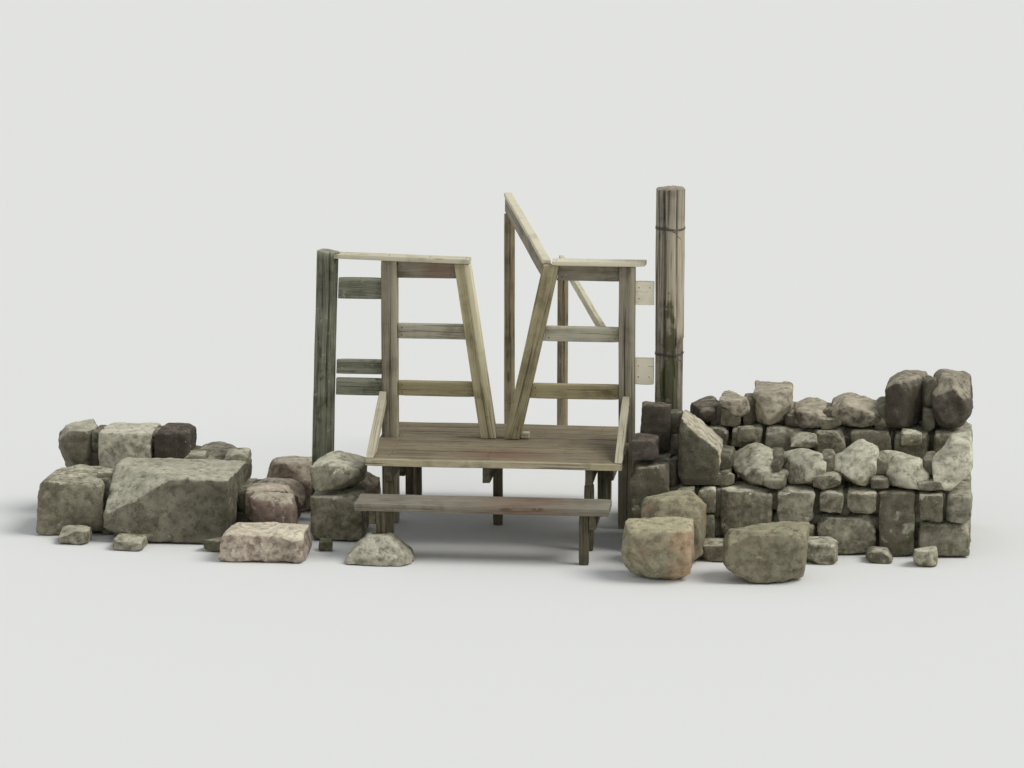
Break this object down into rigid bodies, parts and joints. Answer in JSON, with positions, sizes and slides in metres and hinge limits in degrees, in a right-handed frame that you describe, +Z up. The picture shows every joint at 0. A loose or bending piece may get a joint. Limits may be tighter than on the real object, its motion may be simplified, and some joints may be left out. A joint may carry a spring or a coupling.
{
  "type": "timber squeeze stile in a dry-stone wall",
  "caption": "Weathered timber squeeze stile with a V-shaped gap, raised deck and step boards, standing between strainer posts in a gap of a low, tumbled dry-stone wall.",
  "frame": {"origin": "on the ground, at the centre of the whole object's box in plan; the stile's frame stands 0.275 m in front of it", "axes": "+X along the wall, to the right as a walker faces the stile from the near side; +Y across the wall, away from the near side; +Z up"},
  "size_m": [5.8, 3.45, 2.17],
  "materials": {
    "cap_timber": "bleached, dry and split along the grain",
    "frame_timber": "weathered silver-grey, rough sawn",
    "squeeze_timber": "weathered pale tan, rough sawn",
    "deck_timber": "worn brown-grey boards",
    "under_timber": "dark weathered timber",
    "mossy_timber": "dark timber with moss and lichen",
    "strainer_timber": "split grey log with pale bare side and moss",
    "pale_stone": "rough, bleached, lichen spots",
    "grey_stone": "rough field stone with lichen",
    "dark_stone": "rough dark field stone",
    "pink_stone": "rough pinkish field stone",
    "tan_stone": "rough tan field stone"
  },
  "bodies": {
    "root": {"left_post": "frame_timber", "right_post": "frame_timber", "left_squeeze_post": "squeeze_timber", "right_squeeze_post": "squeeze_timber", "left_cap_rail": "cap_timber", "right_cap_rail": "cap_timber", "left_top_rail": "frame_timber", "right_top_rail": "frame_timber", "left_mid_rail": "frame_timber", "right_mid_rail": "frame_timber", "left_bottom_rail": "frame_timber", "right_bottom_rail": "frame_timber", "squeeze_foot_block": "squeeze_timber", "left_strainer_post": "mossy_timber", "right_strainer_post": "strainer_timber", "left_link_rails": "frame_timber", "right_link_rails": "frame_timber", "left_strut": "cap_timber", "right_strut": "cap_timber", "deck_boards": "deck_timber", "deck_bearers": "under_timber", "deck_front_legs": "under_timber", "deck_back_legs": "under_timber", "front_step_board": "deck_timber", "front_step_frames": "under_timber", "back_step_board": "deck_timber", "back_step_frames": "under_timber", "foot_stone": "pale_stone", "far_handrail_cap": "cap_timber", "far_handrail_rail": "frame_timber", "far_handrail_post": "under_timber", "far_low_rail": "cap_timber", "far_low_rail_post": "under_timber", "left_flat_slab": "grey_stone", "left_squared_block": "pale_stone", "left_dark_block": "dark_stone", "left_loose_slab": "pink_stone", "left_fallen_stones": "pink_stone", "left_wall_base_course": "grey_stone", "left_wall_top_course": "grey_stone", "right_wall_base_course": "grey_stone", "right_wall_middle_course": "grey_stone", "right_wall_cope_stones": "dark_stone", "right_leaning_stone": "pale_stone", "right_corner_stones": "dark_stone", "right_fallen_stones": "tan_stone"}
  },
  "joints": []
}
